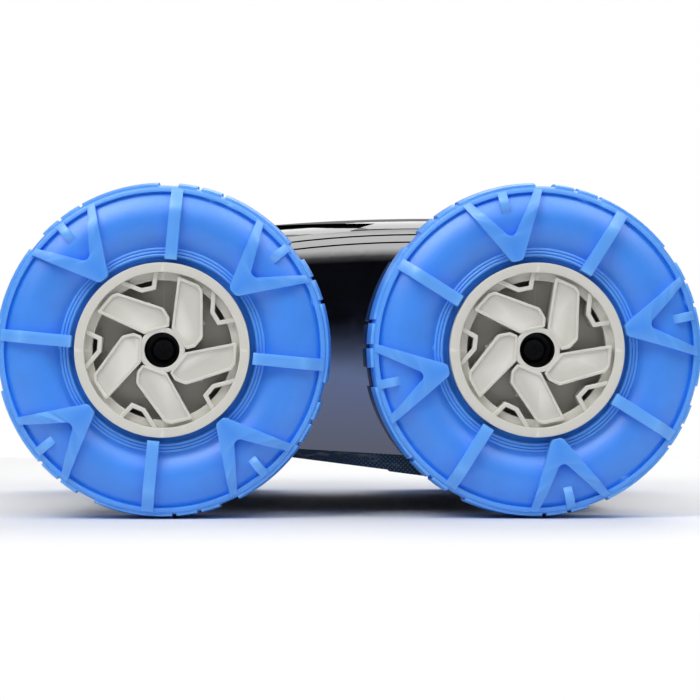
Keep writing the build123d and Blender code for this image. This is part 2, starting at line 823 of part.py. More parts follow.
cover_rise = 2 * seam_gap + bead_height
hose_hole_radius = swivel_radius + 1
with BuildPart() as rim_strip:
    add(body_form(0.2))
    add(deck_form, mode=Mode.SUBTRACT)
    add(parting_drum(cover_rise), mode=Mode.SUBTRACT)
    add(parting_drum(cover_rise + strip_height), mode=Mode.INTERSECT)
with BuildPart() as top_cover:
    add(deck_form)
    add(deck_inside_form, mode=Mode.SUBTRACT)
    add(parting_drum(cover_rise), mode=Mode.SUBTRACT)
    add(rim_strip.part)
    with BuildSketch(Plane.XY.offset(100)):
        Circle(hose_hole_radius)
    extrude(amount=100, mode=Mode.SUBTRACT)
    with BuildSketch(Plane.XY.offset(100)):
        with Locations(*screw_posts):
            Circle(2.3)
    extrude(amount=100, mode=Mode.SUBTRACT)
save(top_cover.part, "top_cover")

with BuildPart() as top_fairing:
    add(outer_form)
    add(body_form(cover_inset - 0.05), mode=Mode.SUBTRACT)
    add(parting_drum(cover_rise + strip_height + 0.4), mode=Mode.SUBTRACT)
    with BuildSketch(Plane.XZ.offset(-1.5 * body_half_width)):
        with BuildLine():
            Polyline(
                (-200, crease_z), (crease_tip_x, crease_z), (crease_tip_x - 18, crease_z - 5.5), (-200, 60),
                close=True,
            )
        make_face()
    extrude(amount=3 * body_half_width, mode=Mode.SUBTRACT)
    with BuildSketch(Plane.XY.offset(100)):
        Circle(hose_hole_radius)
        with Locations(*screw_posts):
            Circle(4.4)
    extrude(amount=100, mode=Mode.SUBTRACT)
save(top_fairing.part, "top_fairing")


# ---------------------------------------------------------------- skirts
skirt_inset = shell_wall + 0.15
skirt_thickness = 2.2
with BuildPart() as side_skirt:
    with BuildSketch(Plane.XZ.offset(body_half_width - skirt_inset - skirt_thickness)):
        with BuildLine():
            step_x = 21
            step = 0.9
            low_front = skirt_edge_z + skirt_edge_slope * skirt_half_length
            low_step = skirt_edge_z - skirt_edge_slope * step_x
            low_rear = skirt_edge_z - skirt_edge_slope * skirt_half_length - step
            Polyline(
                (-skirt_half_length, 52),
                (-skirt_half_length, low_front),
                (step_x, low_step),
                (step_x + 1, low_step - step),
                (skirt_half_length, low_rear),
                (skirt_half_length, 52),
                close=True,
            )
        make_face()
    extrude(amount=skirt_thickness)
save_pair(side_skirt.part, "side_skirt")


# ---------------------------------------------------------------- chassis
lug_y = (flap_half_width + 0.8, flap_half_width + 4.8)
post_base_z = chassis_z + chassis_thickness
with BuildPart() as chassis:
    with BuildSketch(Plane.XY.offset(chassis_z)):
        RectangleRounded(
            2 * (body_half_length - shell_wall - 0.3),
            2 * (body_half_width - skirt_inset - skirt_thickness - 0.2),
            body_corner_radius - 5,
        )
        throat_clearance = 2 * housing_wall + 0.6
        RectangleRounded(
            throat_length + throat_clearance, throat_width + throat_clearance, 6.3, mode=Mode.SUBTRACT
        )
    extrude(amount=chassis_thickness)
    with BuildSketch(Plane.XY.offset(chassis_z)):
        with Locations(*chassis_screw_places):
            Circle(2.3)
    extrude(amount=chassis_thickness, mode=Mode.SUBTRACT)
    with BuildSketch(Plane.XY.offset(post_base_z)):
        for pad_side in (-1, 1):
            with Locations((-60, pad_side * 68), (60, pad_side * 68)):
                Rectangle(10, 30)
    extrude(amount=axle_z - case_radius - post_base_z)
    for post_x, post_y in screw_posts:
        crown_drop = ((post_x - crown_crest_x) ** 2 + post_y**2) / (2 * crown_radius)
        post_top = crown_crest_z - crown_drop - cover_inset - cover_wall - 1.5
        with BuildSketch(Plane.XY.offset(chassis_z)):
            with Locations((post_x, post_y)):
                Circle(5)
        extrude(amount=post_top - chassis_z)
        with BuildSketch(Plane.XY.offset(post_top - 14)):
            with Locations((post_x, post_y)):
                Circle(1.85)
        extrude(amount=30, mode=Mode.SUBTRACT)
    for end, sign in ends.items():
        for side_sign in (-1, 1):
            start = lug_y[0] if side_sign < 0 else -lug_y[1]
            with BuildSketch(Plane.XZ.offset(start)):
                with Locations((sign * flap_hinge_x, flap_hinge_z)):
                    Circle(4.6)
                with Locations((sign * flap_hinge_x, (flap_hinge_z + chassis_z) / 2)):
                    Rectangle(9.2, chassis_z - flap_hinge_z)
                with Locations((sign * flap_hinge_x, flap_hinge_z)):
                    Circle(flap_pin_radius + seat_gap, mode=Mode.SUBTRACT)
            extrude(amount=lug_y[1] - lug_y[0])
save(chassis.part, "chassis")

# ---------------------------------------------------------------- intake flaps and their pins
flap_pins = []
for end, sign in ends.items():
    with BuildPart() as flap:
        with BuildSketch(Plane.XZ.offset(-flap_half_width)):
            with Locations((sign * flap_hinge_x, flap_hinge_z)):
                Circle(4)
            with Locations((sign * flap_hinge_x, (flap_hinge_z + flap_tip_z) / 2)):
                Rectangle(2.6, flap_hinge_z - flap_tip_z)
            with Locations((sign * flap_hinge_x, flap_tip_z)):
                Circle(1.9)
            with Locations((sign * flap_hinge_x, flap_hinge_z)):
                Circle(flap_pin_radius + running_gap, mode=Mode.SUBTRACT)
        extrude(amount=2 * flap_half_width)
    save(flap.part, f"{end}_flap")
    with BuildPart() as flap_pin:
        with BuildSketch(Plane.XZ.offset(-lug_y[1] - 1.5)):
            with Locations((sign * flap_hinge_x, flap_hinge_z)):
                Circle(flap_pin_radius)
        extrude(amount=2 * (lug_y[1] + 1.5))
        chamfer(flap_pin.edges().filter_by(GeomType.CIRCLE), 0.4)
    flap_pins.append(flap_pin.part)
save(Compound(children=flap_pins), "flap_pins")


# ---------------------------------------------------------------- screws
def build_screw(head_radius, head_height, shank_radius, shank_length):
    """A pan-head screw with a cross recess, head up, with the underside of its head at Z = 0."""
    with BuildPart() as screw:
        Cylinder(head_radius, head_height, align=(Align.CENTER, Align.CENTER, Align.MIN))
        fillet(screw.edges().sort_by(Axis.Z)[-1], head_height * 0.45)
        Cylinder(shank_radius, shank_length, align=(Align.CENTER, Align.CENTER, Align.MAX))
        with BuildSketch(Plane.XY.offset(head_height * 0.4)):
            Rectangle(head_radius * 1.1, head_radius * 0.26)
            Rectangle(head_radius * 0.26, head_radius * 1.1)
        extrude(amount=head_height, mode=Mode.SUBTRACT)
    return screw.part


cover_screw = build_screw(4, 2.2, 1.8, 13)
cover_screws = []
for post_x, post_y in screw_posts:
    crown_drop = ((post_x - crown_crest_x) ** 2 + post_y**2) / (2 * crown_radius)
    cover_screws.append(Pos(post_x, post_y, crown_crest_z - crown_drop - cover_inset + 0.8) * cover_screw)
save(Compound(children=cover_screws), "cover_screws")

chassis_screw = build_screw(4, 2.2, 2, 14)
chassis_screws = [Pos(x, y, chassis_z) * Rotation(180, 0, 0) * chassis_screw for x, y in chassis_screw_places]
save(Compound(children=chassis_screws), "chassis_screws")
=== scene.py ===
"""Looks of the four-wheeled pool cleaner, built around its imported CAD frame. Metres, +Z up."""

import json
import math

import bmesh
import bpy
from mathutils import Matrix, Vector


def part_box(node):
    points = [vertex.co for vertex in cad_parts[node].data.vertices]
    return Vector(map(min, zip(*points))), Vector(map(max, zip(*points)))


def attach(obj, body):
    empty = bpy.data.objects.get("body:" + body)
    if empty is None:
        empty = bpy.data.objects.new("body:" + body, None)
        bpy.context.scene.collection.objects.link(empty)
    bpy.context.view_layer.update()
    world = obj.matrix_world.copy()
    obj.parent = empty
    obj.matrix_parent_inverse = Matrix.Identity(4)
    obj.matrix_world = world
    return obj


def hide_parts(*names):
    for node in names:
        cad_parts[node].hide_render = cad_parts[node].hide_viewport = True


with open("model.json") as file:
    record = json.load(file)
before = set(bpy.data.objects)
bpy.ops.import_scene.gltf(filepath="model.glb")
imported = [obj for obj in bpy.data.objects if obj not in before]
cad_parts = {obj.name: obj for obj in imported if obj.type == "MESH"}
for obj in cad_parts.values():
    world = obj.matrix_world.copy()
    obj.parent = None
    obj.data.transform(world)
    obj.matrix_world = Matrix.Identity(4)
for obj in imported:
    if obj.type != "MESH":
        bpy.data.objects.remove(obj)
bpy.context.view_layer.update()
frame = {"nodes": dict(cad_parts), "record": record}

MM = 0.001
AXLE_X = 0.094
AXLE_HEIGHT = 0.085
NODES = frame["nodes"]
SLOT_OF_NODE = {row["node"]: row["material_slot"] for row in frame["record"]["subparts"]}


# ---------------------------------------------------------------- material helpers
def linear(red, green, blue):
    """Scene-linear colour of an 8-bit display colour."""
    def one(value):
        share = value / 255
        return share / 12.92 if share <= 0.04045 else ((share + 0.055) / 1.055) ** 2.4
    return (one(red), one(green), one(blue), 1.0)


class Surface:
    """A material under construction: its node tree, its shader and the object-space position."""

    def __init__(self, name, colour, roughness, **sockets):
        self.material = bpy.data.materials.new(name)
        self.material.use_nodes = True
        self.tree = self.material.node_tree
        self.shader = self.tree.nodes["Principled BSDF"]
        self.shader.inputs["Base Color"].default_value = colour
        self.shader.inputs["Roughness"].default_value = roughness
        for socket, value in sockets.items():
            self.shader.inputs[socket.replace("_", " ")].default_value = value
        self.position = self.tree.nodes.new("ShaderNodeTexCoord").outputs["Object"]
        self.height = None

    def node(self, kind, **settings):
        made = self.tree.nodes.new(kind)
        for name, value in settings.items():
            setattr(made, name, value)
        return made

    def link(self, source, target):
        self.tree.links.new(source, target)

    def noise(self, scale, detail=3.0, roughness=0.5, stretch=(1, 1, 1)):
        """Noise value in 0 to 1 at a number of features per metre."""
        mapping = self.node("ShaderNodeMapping")
        mapping.inputs["Scale"].default_value = stretch
        self.link(self.position, mapping.inputs["Vector"])
        texture = self.node("ShaderNodeTexNoise")
        texture.inputs["Scale"].default_value = scale
        texture.inputs["Detail"].default_value = detail
        texture.inputs["Roughness"].default_value = roughness
        self.link(mapping.outputs["Vector"], texture.inputs["Vector"])
        return texture.outputs["Fac"]

    def spread(self, value, low, high, low_at=0.3, high_at=0.7):
        """Remap a 0 to 1 value to a range."""
        remap = self.node("ShaderNodeMapRange")
        remap.inputs["From Min"].default_value = low_at
        remap.inputs["From Max"].default_value = high_at
        remap.inputs["To Min"].default_value = low
        remap.inputs["To Max"].default_value = high
        self.link(value, remap.inputs["Value"])
        return remap.outputs["Result"]

    def mix(self, factor, first, second):
        """Colour between two colours or colour outputs."""
        blend = self.node("ShaderNodeMix", data_type="RGBA")
        self.link(factor, blend.inputs["Factor"])
        for colour, socket in ((first, blend.inputs[6]), (second, blend.inputs[7])):
            if isinstance(colour, tuple):
                socket.default_value = colour
            else:
                self.link(colour, socket)
        return blend.outputs[2]

    def colour(self, output):
        self.link(output, self.shader.inputs["Base Color"])

    def roughness(self, output):
        self.link(output, self.shader.inputs["Roughness"])

    def bump(self, value, depth_mm, strength=1.0):
        """Lay one more layer of relief over the surface."""
        layer = self.node("ShaderNodeBump")
        layer.inputs["Distance"].default_value = depth_mm * MM
        layer.inputs["Strength"].default_value = strength
        self.link(value, layer.inputs["Height"])
        if self.height is not None:
            self.link(self.height, layer.inputs["Normal"])
        self.height = layer.outputs["Normal"]
        self.link(self.height, self.shader.inputs["Normal"])

    def edges(self, low=0.5, high=0.56):
        """Value that rises from 0 to 1 on convex edges."""
        geometry = self.node("ShaderNodeNewGeometry")
        return self.spread(geometry.outputs["Pointiness"], 0, 1, low, high)


def shade(colour, factor):
    """The same colour, darker or lighter."""
    return tuple(min(1, channel * factor) for channel in colour[:3]) + (1.0,)


# ---------------------------------------------------------------- materials
def tyre_rubber():
    blue = linear(38, 130, 236)
    surface = Surface("tyre_rubber", blue, 0.42, IOR=1.7, Subsurface_Weight=0.06)
    surface.shader.inputs["Subsurface Radius"].default_value = (0.001, 0.003, 0.006)
    surface.shader.inputs["Subsurface Scale"].default_value = 0.5
    clouds = surface.noise(55, 4)
    tone = surface.mix(surface.spread(clouds, 0, 1), shade(blue, 0.93), shade(blue, 1.06))
    surface.colour(surface.mix(surface.edges(), tone, linear(98, 172, 250)))
    surface.roughness(surface.spread(surface.noise(900, 2), 0.37, 0.47))
    surface.bump(surface.noise(2600, 3), 0.03, 0.5)
    surface.bump(surface.noise(120, 2), 0.12, 0.35)
    return surface.material


def hub_plastic():
    white = linear(203, 201, 193)
    surface = Surface("hub_plastic", white, 0.42, IOR=1.48)
    tone = surface.mix(surface.spread(surface.noise(40, 3), 0, 1), shade(white, 0.965), shade(white, 1.02))
    surface.colour(surface.mix(surface.edges(0.5, 0.58), tone, linear(222, 220, 213)))
    surface.roughness(surface.spread(surface.noise(700, 2), 0.36, 0.5))
    surface.bump(surface.noise(3200, 2), 0.02, 0.5)
    surface.bump(surface.noise(70, 2), 0.1, 0.25)
    return surface.material


def gloss_black():
    black = linear(7, 7, 10)
    surface = Surface("gloss_black", black, 0.06, IOR=2.3)
    surface.colour(surface.mix(surface.spread(surface.noise(30, 2), 0, 1), black, linear(12, 12, 16)))
    surface.roughness(surface.spread(surface.noise(160, 4), 0.02, 0.045))
    surface.bump(surface.noise(18, 2), 0.03, 0.2)
    surface.bump(surface.noise(1500, 2), 0.002, 0.4)
    return surface.material


def skirt_plastic():
    teal = linear(7, 41, 69)
    surface = Surface("skirt_plastic", teal, 0.32, IOR=1.3)
    pitch = 2.3 * MM
    split = surface.node("ShaderNodeSeparateXYZ")
    surface.link(surface.position, split.inputs["Vector"])

    def wave(output):
        turns = surface.node("ShaderNodeMath", operation="MULTIPLY")
        turns.inputs[1].default_value = 2 * math.pi / pitch
        surface.link(output, turns.inputs[0])
        sine = surface.node("ShaderNodeMath", operation="SINE")
        surface.link(turns.outputs[0], sine.inputs[0])
        return sine.outputs[0]

    dots = surface.node("ShaderNodeMath", operation="MULTIPLY")
    surface.link(wave(split.outputs["X"]), dots.inputs[0])
    surface.link(wave(split.outputs["Z"]), dots.inputs[1])
    printed = surface.spread(dots.outputs[0], 0, 1, 0.25, 0.55)
    rearwards = surface.spread(split.outputs["X"], 0, 1, -0.002, 0.012)
    shown = surface.node("ShaderNodeMath", operation="MULTIPLY")
    surface.link(printed, shown.inputs[0])
    surface.link(rearwards, shown.inputs[1])
    streaks = surface.noise(110, 4, 0.6, (0.5, 1, 2.2))
    blotches = surface.mix(surface.spread(streaks, 0, 0.8, 0.57, 0.68), teal, linear(96, 104, 112))
    surface.colour(surface.mix(shown.outputs[0], blotches, linear(66, 92, 108)))
    surface.roughness(surface.spread(surface.noise(500, 2), 0.26, 0.4))
    surface.bump(surface.noise(2400, 2), 0.01, 0.4)
    return surface.material


def moulded(name, colour, roughness, grain_mm=0.02, variation=0.06, **sockets):
    """A moulded plastic or rubber with cloudy tone, uneven gloss, fine grain and paler edges."""
    surface = Surface(name, colour, roughness, **sockets)
    clouds = surface.spread(surface.noise(60, 4), 0, 1)
    tone = surface.mix(clouds, shade(colour, 1 - variation), shade(colour, 1 + variation))
    surface.colour(surface.mix(surface.edges(), tone, shade(colour, 1.5)))
    surface.roughness(surface.spread(surface.noise(800, 2), roughness - 0.06, roughness + 0.08))
    surface.bump(surface.noise(2600, 3), grain_mm, 0.6)
    return surface.material


def turned_steel():
    steel = linear(172, 174, 178)
    surface = Surface("stainless", steel, 0.28, Metallic=1.0)
    tone = surface.mix(surface.spread(surface.noise(200, 3), 0, 1), shade(steel, 0.85), shade(steel, 1.05))
    surface.colour(surface.mix(surface.edges(), tone, linear(225, 226, 228)))
    grooves = surface.noise(420, 3, 0.6, (1, 14, 1))
    surface.roughness(surface.spread(grooves, 0.2, 0.38))
    surface.bump(grooves, 0.01, 0.5)
    return surface.material


MATERIALS = {
    "tyre_rubber": tyre_rubber(),
    "hub_plastic": hub_plastic(),
    "gloss_black": gloss_black(),
    "skirt_plastic": skirt_plastic(),
    "stainless": turned_steel(),
    "gear_plastic": moulded("gear_plastic", linear(222, 216, 200), 0.4),
    "bearing_plastic": moulded("bearing_plastic", linear(58, 58, 62), 0.38),
    "seal_rubber": moulded("seal_rubber", linear(26, 26, 27), 0.62, 0.03),
    "flap_rubber": moulded("flap_rubber", linear(34, 35, 38), 0.58, 0.04),
    "rotor_plastic": moulded("rotor_plastic", linear(62, 74, 88), 0.4),
    "swivel_plastic": moulded("swivel_plastic", linear(28, 29, 32), 0.4, 0.03),
    # near-black painted shade of the deep wheel bores, worn by the stainless wheel screws and the bore faces
    "painted_bore_shade": moulded("painted_bore_shade", linear(5, 5, 5), 0.6),
    "frame_plastic": moulded("frame_plastic", linear(46, 47, 50), 0.45, 0.03),
}


def dress(obj, slot_name):
    """Give a piece one material in place of those it has."""
    obj.data.materials.clear()
    obj.data.materials.append(MATERIALS[slot_name])


for node_name, node in NODES.items():
    # The stainless wheel screws are dressed in near-black painted shade, the shade of the bore they sit in.
    dress(node, "painted_bore_shade" if node_name.startswith("wheel_screw") else SLOT_OF_NODE[node_name])


# ---------------------------------------------------------------- tyres
TYRE_RADIUS = 85.0
TREAD_BASE_RADIUS = 83.4
TYRE_BORE_RADIUS = 43.9
LIP_RADIUS = 81.6
RIB_FACE = 28.0
RIB_ROOT = 15.0
RIB_INNER_RADIUS = 45.6
RIB_OUTER_RADIUS = 81.2
RIB_SLOPE_SPAN = (72.0, 80.3)
RIB_SLOPE_DROP = 5.6
CLAW_INNER_RADIUS = 68.6
CLAW_ROOT_FACE = 20.5
CLAW_ARCH = 4.6
BAR_HALF_WIDTH = 3.0
CLAW_HALF_WIDTHS = (2.2, 2.3)
WALL_FACE = 19.4
RIDGE_START_RADIUS = 46.9
RIDGE_PITCH = 1.6
RIDGE_RISE = 0.7
V_TURN = 39.4
BAR_TURN = 84.6
LUG_TURN = 33.0
LUG_HALF_WIDTH = 19.5
LUG_CROWN = 1.6
LUG_ROOT_RADIUS = 81.0
LUG_SPANS = ((7.0, 34.6), (36.1, 43.3), (44.8, 360 / 7))
TYRE_TURN = {"front_left": 0.0, "rear_left": 153.1, "front_right": 20.0, "rear_right": 215.0}


def arc_points(start, middle, end, count):
    """Points on the circle through three points, from the start to the end."""
    ax, ay = start
    bx, by = middle
    cx, cy = end
    cross = 2 * (ax * (by - cy) + bx * (cy - ay) + cx * (ay - by))
    a2, b2, c2 = ax * ax + ay * ay, bx * bx + by * by, cx * cx + cy * cy
    ux = (a2 * (by - cy) + b2 * (cy - ay) + c2 * (ay - by)) / cross
    uy = (a2 * (cx - bx) + b2 * (ax - cx) + c2 * (bx - ax)) / cross
    radius = math.hypot(ax - ux, ay - uy)
    first = math.atan2(ay - uy, ax - ux)
    half = math.atan2(by - uy, bx - ux) - first
    full = math.atan2(cy - uy, cx - ux) - first
    half = (half + math.pi) % (2 * math.pi) - math.pi
    full = (full + math.pi) % (2 * math.pi) - math.pi
    if half * full < 0:
        full -= math.copysign(2 * math.pi, full)
    steps = [first + full * step / count for step in range(count + 1)]
    return [(ux + radius * math.cos(turn), uy + radius * math.sin(turn)) for turn in steps]


def tyre_half_profile():
    """The tyre's section from its bore to the middle of its tread, as radius and depth."""
    points = [(TYRE_BORE_RADIUS, 15.5), (46.0, 16.4), (RIDGE_START_RADIUS, WALL_FACE)]
    for _ in range(3):
        start = points[-1]
        crest = (start[0] + RIDGE_PITCH / 2, WALL_FACE + RIDGE_RISE)
        points += arc_points(start, crest, (start[0] + RIDGE_PITCH, WALL_FACE), 6)[1:]
    points += arc_points(points[-1], (63.5, 24.2), (79.0, 19.2), 22)[1:]
    points += [(79.5, 21.2), (LIP_RADIUS, 20.6), (82.6, 18.6)]
    points += arc_points((82.6, 18.6), (83.2, 9.3), (TREAD_BASE_RADIUS, 0), 8)[1:]
    return points


def add_revolved(bm, profile, segments):
    """Turn a closed profile of radius and depth about the wheel's axis."""
    rings = []
    for segment in range(segments):
        turn = 2 * math.pi * segment / segments
        rings.append([bm.verts.new((r * math.cos(turn), -w, r * math.sin(turn))) for r, w in profile])
    for segment in range(segments):
        here, there = rings[segment], rings[(segment + 1) % segments]
        for index in range(len(profile)):
            after = (index + 1) % len(profile)
            bm.faces.new((here[index], here[after], there[after], there[index]))


def rib_height(radius):
    """Depth of a rib's face at a radius: flat, then falling back to the shoulder."""
    start, end = RIB_SLOPE_SPAN
    if radius <= start:
        return RIB_FACE
    return RIB_FACE - RIB_SLOPE_DROP * (radius - start) / (end - start)


def claw_height(radius):
    """Depth of a claw's arched face at a radius."""
    share = (radius - CLAW_INNER_RADIUS) / (RIB_OUTER_RADIUS - CLAW_INNER_RADIUS)
    return CLAW_ROOT_FACE + CLAW_ARCH * math.sin(math.pi * min(1, max(0, 0.12 + 0.8 * share)))


def add_strip(bm, left, right, height, turn, face, joined=0):
    """A raised strip between two side-view lines, on the outer (1) or inner (-1) face of the tyre.

    The first `joined` spans of its left side have no wall: another strip meets them there.
    """
    spin = Matrix.Rotation(-math.radians(turn), 4, "Y")

    def column(point_uv, depth):
        return bm.verts.new(spin @ Vector((point_uv[0], -face * depth, point_uv[1])))

    tops_left = [column(p, height(math.hypot(*p))) for p in left]
    tops_right = [column(p, height(math.hypot(*p))) for p in right]
    low_left = [column(p, RIB_ROOT) for p in left]
    low_right = [column(p, RIB_ROOT) for p in right]
    for index in range(len(left) - 1):
        after = index + 1
        bm.faces.new((tops_left[index], tops_right[index], tops_right[after], tops_left[after]))
        bm.faces.new((low_left[index], low_left[after], low_right[after], low_right[index]))
        bm.faces.new((tops_right[index], low_right[index], low_right[after], tops_right[after]))
        if index >= joined:
            bm.faces.new((tops_left[index], tops_left[after], low_left[after], low_left[index]))
    for at in (0, -1):
        bm.faces.new((tops_left[at], low_left[at], low_right[at], tops_right[at]))


def lerp_line(start, end, count):
    """Evenly spaced points from one side-view point to another."""
    return [
        (start[0] + (end[0] - start[0]) * step / count, start[1] + (end[1] - start[1]) * step / count)
        for step in range(count + 1)
    ]


def add_v_rib(bm, turn, face):
    """A V rib: a blunt tip near the hub and two legs that reach the shoulder."""
    tip_half, outer_slope, inner_slope = 2.75, math.tan(math.radians(28.4)), math.tan(math.radians(36))
    crotch, crotch_round = 56.6, 3.0
    centre_u = crotch + crotch_round / math.sin(math.radians(36))
    apex = centre_u - crotch_round

    def outer(u):
        return tip_half + (u - RIB_INNER_RADIUS) * outer_slope

    inner_line = []
    for step in range(7):
        swing = math.radians(180 - step * 9)
        inner_line.append((centre_u + crotch_round * math.cos(swing), crotch_round * math.sin(swing)))
    inner_line += lerp_line(inner_line[-1], (79.5, (79.5 - crotch) * inner_slope), 10)[1:]
    outer_line = lerp_line((apex, outer(apex)), (78.55, outer(78.55)), 16)
    blunt = [(RIB_INNER_RADIUS, tip_half - 1.0), (RIB_INNER_RADIUS + 0.5, tip_half)]
    shoulder = RIB_INNER_RADIUS + 1.2
    sides = blunt + lerp_line((shoulder, outer(shoulder)), (apex, outer(apex)), 5)[:-1]
    middle = [(u, 0.0) for u, v in sides]
    for flip in (1, -1):
        left = [(u, v * flip) for u, v in middle + inner_line]
        right = [(u, v * flip) for u, v in sides + outer_line]
        add_strip(bm, left, right, rib_height, turn, face, joined=len(middle))


def add_lug(bm, start, end):
    """One block of the tread between two angles, crowned across the tyre's width."""
    across = 8
    steps = max(1, round((end - start) / 3))
    rings = []
    for step in range(steps + 1):
        turn = math.radians(start + (end - start) * step / steps)
        ring = []
        for index in range(across + 1):
            w = -LUG_HALF_WIDTH + 2 * LUG_HALF_WIDTH * index / across
            radius = TYRE_RADIUS - LUG_CROWN * (w / LUG_HALF_WIDTH) ** 2
            ring.append(bm.verts.new((radius * math.cos(turn), w, radius * math.sin(turn))))
        for w in (LUG_HALF_WIDTH, -LUG_HALF_WIDTH):
            x, z = LUG_ROOT_RADIUS * math.cos(turn), LUG_ROOT_RADIUS * math.sin(turn)
            ring.append(bm.verts.new((x, w, z)))
        rings.append(ring)
    for here, there in zip(rings, rings[1:]):
        for index in range(len(here)):
            after = (index + 1) % len(here)
            bm.faces.new((here[index], there[index], there[after], here[after]))
    bm.faces.new(rings[0])
    bm.faces.new(list(reversed(rings[-1])))


def bevelled(obj, width_mm, segments=2, angle=35):
    """Round the piece's sharp edges for good and shade it smooth between them."""
    bevel = obj.modifiers.new("edges", "BEVEL")
    bevel.width = width_mm * MM
    bevel.segments = segments
    bevel.limit_method = "ANGLE"
    bevel.angle_limit = math.radians(angle)
    bevel.use_clamp_overlap = True
    depsgraph = bpy.context.evaluated_depsgraph_get()
    mesh = bpy.data.meshes.new_from_object(obj.evaluated_get(depsgraph))
    obj.modifiers.clear()
    obj.data = mesh
    mesh.shade_smooth()
    mesh.set_sharp_from_angle(angle=math.radians(38))


def tyre_mesh():
    """One tyre about the Y axis with its outer face towards -Y, in metres."""
    bm = bmesh.new()
    half = tyre_half_profile()
    profile = half + [(r, -w) for r, w in reversed(half[:-1])]
    add_revolved(bm, profile, 240)
    for face in (1, -1):
        for quarter in range(4):
            add_v_rib(bm, V_TURN + 90 * quarter, face)
            bar_left = lerp_line((RIB_INNER_RADIUS, -BAR_HALF_WIDTH), (RIB_OUTER_RADIUS, -BAR_HALF_WIDTH), 14)
            bar_right = [(u, -v) for u, v in bar_left]
            add_strip(bm, bar_left, bar_right, rib_height, BAR_TURN + 90 * quarter, face)
            claw_start, claw_end = CLAW_HALF_WIDTHS
            claw_left = lerp_line((CLAW_INNER_RADIUS, -claw_start), (RIB_OUTER_RADIUS, -claw_end), 10)
            claw_right = [(u, -v) for u, v in claw_left]
            add_strip(bm, claw_left, claw_right, claw_height, V_TURN + 90 * quarter, face)
    for period in range(7):
        for low, high in LUG_SPANS:
            turn = LUG_TURN + period * 360 / 7
            add_lug(bm, turn + low, turn + high)
    bmesh.ops.remove_doubles(bm, verts=bm.verts, dist=0.001)
    bmesh.ops.recalc_face_normals(bm, faces=bm.faces)
    bmesh.ops.scale(bm, vec=(MM, MM, MM), verts=bm.verts)
    mesh = bpy.data.meshes.new("tyre")
    bm.to_mesh(mesh)
    bm.free()
    return mesh


def wheel_place(corner, turn):
    """Where a wheel's piece goes: rolled, faced outwards and moved to its axle."""
    low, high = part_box(f"tyre_{corner}")
    middle = (low + high) / 2
    outer_y = low.y if middle.y < 0 else high.y
    middle_y = outer_y - math.copysign(RIB_FACE * MM, outer_y)
    centre = Vector((math.copysign(AXLE_X, middle.x), middle_y, AXLE_HEIGHT))
    faced = Matrix.Rotation(math.pi if middle.y > 0 else 0, 4, "Z")
    return Matrix.Translation(centre) @ faced @ Matrix.Rotation(-math.radians(turn), 4, "Y")


def make_tyres():
    """Four moulded tyres in place of the plain CAD ones."""
    pattern = bpy.data.objects.new("tyre_pattern", tyre_mesh())
    bpy.context.scene.collection.objects.link(pattern)
    bevelled(pattern, 0.45)
    for corner, turn in TYRE_TURN.items():
        mesh = pattern.data.copy()
        mesh.transform(wheel_place(corner, turn))
        tyre = bpy.data.objects.new(f"moulded_tyre_{corner}", mesh)
        bpy.context.scene.collection.objects.link(tyre)
        dress(tyre, "tyre_rubber")
        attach(tyre, f"wheel_{corner}")
        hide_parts(f"tyre_{corner}")
    bpy.data.objects.remove(pattern)


make_tyres()


# ---------------------------------------------------------------- wheel hubs
HUB_RADIUS = 43.8
HUB_RING_INNER = 39.0
HUB_FRONT = 27.8
HUB_BACK = -25.0
HUB_LEDGE_INNER = 35.0
HUB_LEDGE_FACE = 22.5
HUB_DISC = (4.0, 7.0)
VANE_COUNT = 5
VANE_FACE = 26.4
RIB_RISE = 5
TAB_RISE = 8
OVERLAP = 0.5
VANE_POCKET = 1.1
BORE_RADIUS = 8.9
# Depth of the bore's front: the bore faces behind it carry near-black painted shade.
BORE_SHADE_FRONT = 25.5
HUB_BOSS_PROFILE = (
    (11.45, -26), (11.45, 26), (8.8, 26), (8.8, 2), (2.7, 2), (2.7, -3), (6.05, -3), (6.05, -26)
)
VANE_OUTLINE = ((4.8, 10.8), (8, 36.9), (18.2, 32.7), (20.3, 29.9), (20.3, 5.9), (16.4, 1.4), (12.2, 0.3))
VANE_POCKET_OUTLINE = (
    (6.3, 11.7), (9.2, 34.6), (17.2, 31.4), (18.9, 29.3), (18.9, 6.5), (15.9, 2.9), (12.6, 1.8)
)
VANE_ROUNDING = (0.4, 0.8, 1.4, 1.4, 2.6, 1.0, 0.8)
HUB_TURN = {"front_left": 0.0, "rear_left": -1.9, "front_right": 31.0, "rear_right": 12.0}


def polar(radius, angle):
    """A side-view point at a radius and an angle in degrees."""
    return (radius * math.cos(math.radians(angle)), radius * math.sin(math.radians(angle)))


def rounded(outline, radii, steps=4):
    """A closed outline with each corner replaced by an arc of its own radius."""
    points = []
    count = len(outline)
    for index, corner in enumerate(outline):
        here = Vector(corner)
        before = (Vector(outline[index - 1]) - here).normalized()
        after = (Vector(outline[(index + 1) % count]) - here).normalized()
        opening = before.angle(after)
        reach = radii[index] / math.tan(opening / 2)
        centre = here + (before + after).normalized() * (radii[index] / math.sin(opening / 2))
        start = here + before * reach - centre
        end = here + after * reach - centre
        for step in range(steps + 1):
            share = step / steps
            direction = start.lerp(end, share).normalized()
            point_at = centre + direction * radii[index]
            points.append((point_at.x, point_at.y))
    return points


def ring_of(bm, outline, depth, turn):
    """Vertices of a side-view outline at one depth."""
    spin = Matrix.Rotation(-math.radians(turn), 4, "Y")
    return [bm.verts.new(spin @ Vector((x, -depth, z))) for x, z in outline]


def bridge(bm, first, second):
    """Side faces between two rings of the same length."""
    for index in range(len(first)):
        after = (index + 1) % len(first)
        bm.faces.new((first[index], first[after], second[after], second[index]))


